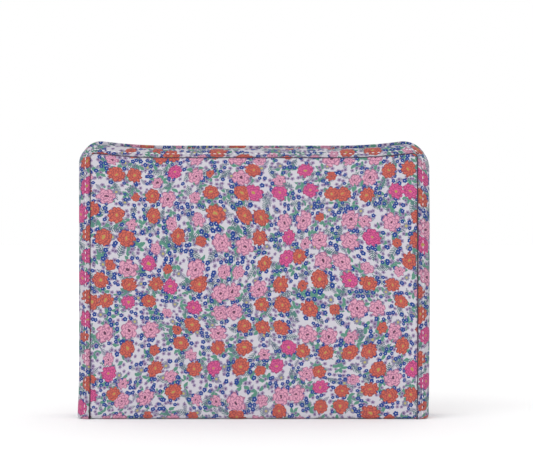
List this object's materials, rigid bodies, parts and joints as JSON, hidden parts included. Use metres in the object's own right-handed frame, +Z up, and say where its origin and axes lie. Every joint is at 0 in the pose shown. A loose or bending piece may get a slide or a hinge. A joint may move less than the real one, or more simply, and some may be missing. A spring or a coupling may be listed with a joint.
{
  "type": "hanging toiletry bag",
  "caption": "Soft floral-print travel bag of padded canvas that unzips and opens flat, with zipped pockets in both halves and a fold-away hanging hook.",
  "frame": {"origin": "middle of the base, where the two halves meet, with the bag closed and standing", "axes": "+X along the bag's width to the right as seen from the front, +Y towards the back with the hook, +Z up"},
  "size_m": [0.305, 0.0717, 0.241],
  "materials": {
    "printed_canvas": "matt floral-printed woven cotton",
    "foam": "closed-cell foam sheet",
    "lining_fabric": "smooth woven nylon",
    "binding_tape": "woven grosgrain",
    "webbing": "ribbed webbing",
    "zip_tape": "woven zip tape",
    "zip_coil": "nylon coil",
    "nickel": "plated zinc",
    "hook_plastic": "moulded acetal",
    "clear_vinyl": "clear soft vinyl",
    "mesh": "fine polyester mesh"
  },
  "bodies": {
    "back": {"back_panel": "printed_canvas", "back_gusset": "printed_canvas", "back_foam": "foam", "back_lining": "lining_fabric", "back_zip_tape": "zip_tape", "back_zip_coil": "zip_coil", "back_zip_stops": "zip_coil", "back_rim_binding": "binding_tape", "hinge_tape": "binding_tape", "hanger_loop": "webbing", "pocket_1_front": "clear_vinyl", "pocket_1_header": "clear_vinyl", "pocket_1_walls": "clear_vinyl", "pocket_1_binding": "binding_tape", "pocket_1_zip_tapes": "zip_tape", "pocket_1_zip_coils": "zip_coil", "pocket_2_front": "mesh", "pocket_2_header": "mesh", "pocket_2_walls": "mesh", "pocket_2_binding": "binding_tape", "pocket_2_zip_tapes": "zip_tape", "pocket_2_zip_coils": "zip_coil"},
    "cover": {"front_panel": "printed_canvas", "front_gusset": "printed_canvas", "front_foam": "foam", "front_lining": "lining_fabric", "front_zip_tape": "zip_tape", "front_zip_coil": "zip_coil", "front_zip_stops": "zip_coil", "front_rim_binding": "binding_tape", "pocket_3_front": "clear_vinyl", "pocket_3_header": "clear_vinyl", "pocket_3_walls": "clear_vinyl", "pocket_3_binding": "binding_tape", "pocket_3_zip_tapes": "zip_tape", "pocket_3_zip_coils": "zip_coil", "pocket_4_front": "mesh", "pocket_4_header": "mesh", "pocket_4_walls": "mesh", "pocket_4_binding": "binding_tape", "pocket_4_zip_tapes": "zip_tape", "pocket_4_zip_coils": "zip_coil"},
    "slider_left": {"slider_left": "nickel"},
    "pull_left": {"pull_left": "nickel"},
    "slider_right": {"slider_right": "nickel"},
    "pull_right": {"pull_right": "nickel"},
    "hook": {"hanger_hook": "hook_plastic"},
    "pocket_1_slider": {"pocket_1_slider": "nickel"},
    "pocket_1_pull": {"pocket_1_pull": "nickel"},
    "pocket_2_slider": {"pocket_2_slider": "nickel"},
    "pocket_2_pull": {"pocket_2_pull": "nickel"},
    "pocket_3_slider": {"pocket_3_slider": "nickel"},
    "pocket_3_pull": {"pocket_3_pull": "nickel"},
    "pocket_4_slider": {"pocket_4_slider": "nickel"},
    "pocket_4_pull": {"pocket_4_pull": "nickel"}
  },
  "joints": [
    {"name": "cover_hinge", "type": "hinge", "parent": "back", "child": "cover", "pos_m": [0, 0, -0.00025], "axis": [1, 0, 0], "range_deg": [0, 180], "deforming": ["hinge_tape"]},
    {"name": "slider_right_run", "type": "slide", "parent": "back", "child": "slider_right", "axis": [1, 0, 0], "range_m": [0, 0.062]},
    {"name": "slider_left_run", "type": "slide", "parent": "back", "child": "slider_left", "axis": [-1, 0, 0], "range_m": [0, 0.062]},
    {"name": "pull_right_swing", "type": "hinge", "parent": "slider_right", "child": "pull_right", "pos_m": [0.007, 0, 0.23585], "axis": [0, -1, 0], "range_deg": [0, 95]},
    {"name": "pull_left_swing", "type": "hinge", "parent": "slider_left", "child": "pull_left", "pos_m": [-0.007, 0, 0.23585], "axis": [0, 1, 0], "range_deg": [0, 95]},
    {"name": "hook_flip", "type": "hinge", "parent": "back", "child": "hook", "pos_m": [0, 0.036, 0.2245], "axis": [1, 0, 0], "range_deg": [0, 180]},
    {"name": "pocket_1_slider_run", "type": "slide", "parent": "back", "child": "pocket_1_slider", "axis": [-1, 0, 0], "range_m": [0, 0.244]},
    {"name": "pocket_1_pull_swing", "type": "hinge", "parent": "pocket_1_slider", "child": "pocket_1_pull", "pos_m": [0.124, 0.0093, 0.215], "axis": [0, 0, 1], "range_deg": [0, 170]},
    {"name": "pocket_2_slider_run", "type": "slide", "parent": "back", "child": "pocket_2_slider", "axis": [-1, 0, 0], "range_m": [0, 0.244]},
    {"name": "pocket_2_pull_swing", "type": "hinge", "parent": "pocket_2_slider", "child": "pocket_2_pull", "pos_m": [0.124, 0.0093, 0.104], "axis": [0, 0, 1], "range_deg": [0, 170]},
    {"name": "pocket_3_slider_run", "type": "slide", "parent": "cover", "child": "pocket_3_slider", "axis": [-1, 0, 0], "range_m": [0, 0.244]},
    {"name": "pocket_3_pull_swing", "type": "hinge", "parent": "pocket_3_slider", "child": "pocket_3_pull", "pos_m": [0.124, -0.0093, 0.017], "axis": [0, 0, -1], "range_deg": [0, 170]},
    {"name": "pocket_4_slider_run", "type": "slide", "parent": "cover", "child": "pocket_4_slider", "axis": [-1, 0, 0], "range_m": [0, 0.244]},
    {"name": "pocket_4_pull_swing", "type": "hinge", "parent": "pocket_4_slider", "child": "pocket_4_pull", "pos_m": [0.124, -0.0093, 0.128], "axis": [0, 0, -1], "range_deg": [0, 170]}
  ]
}
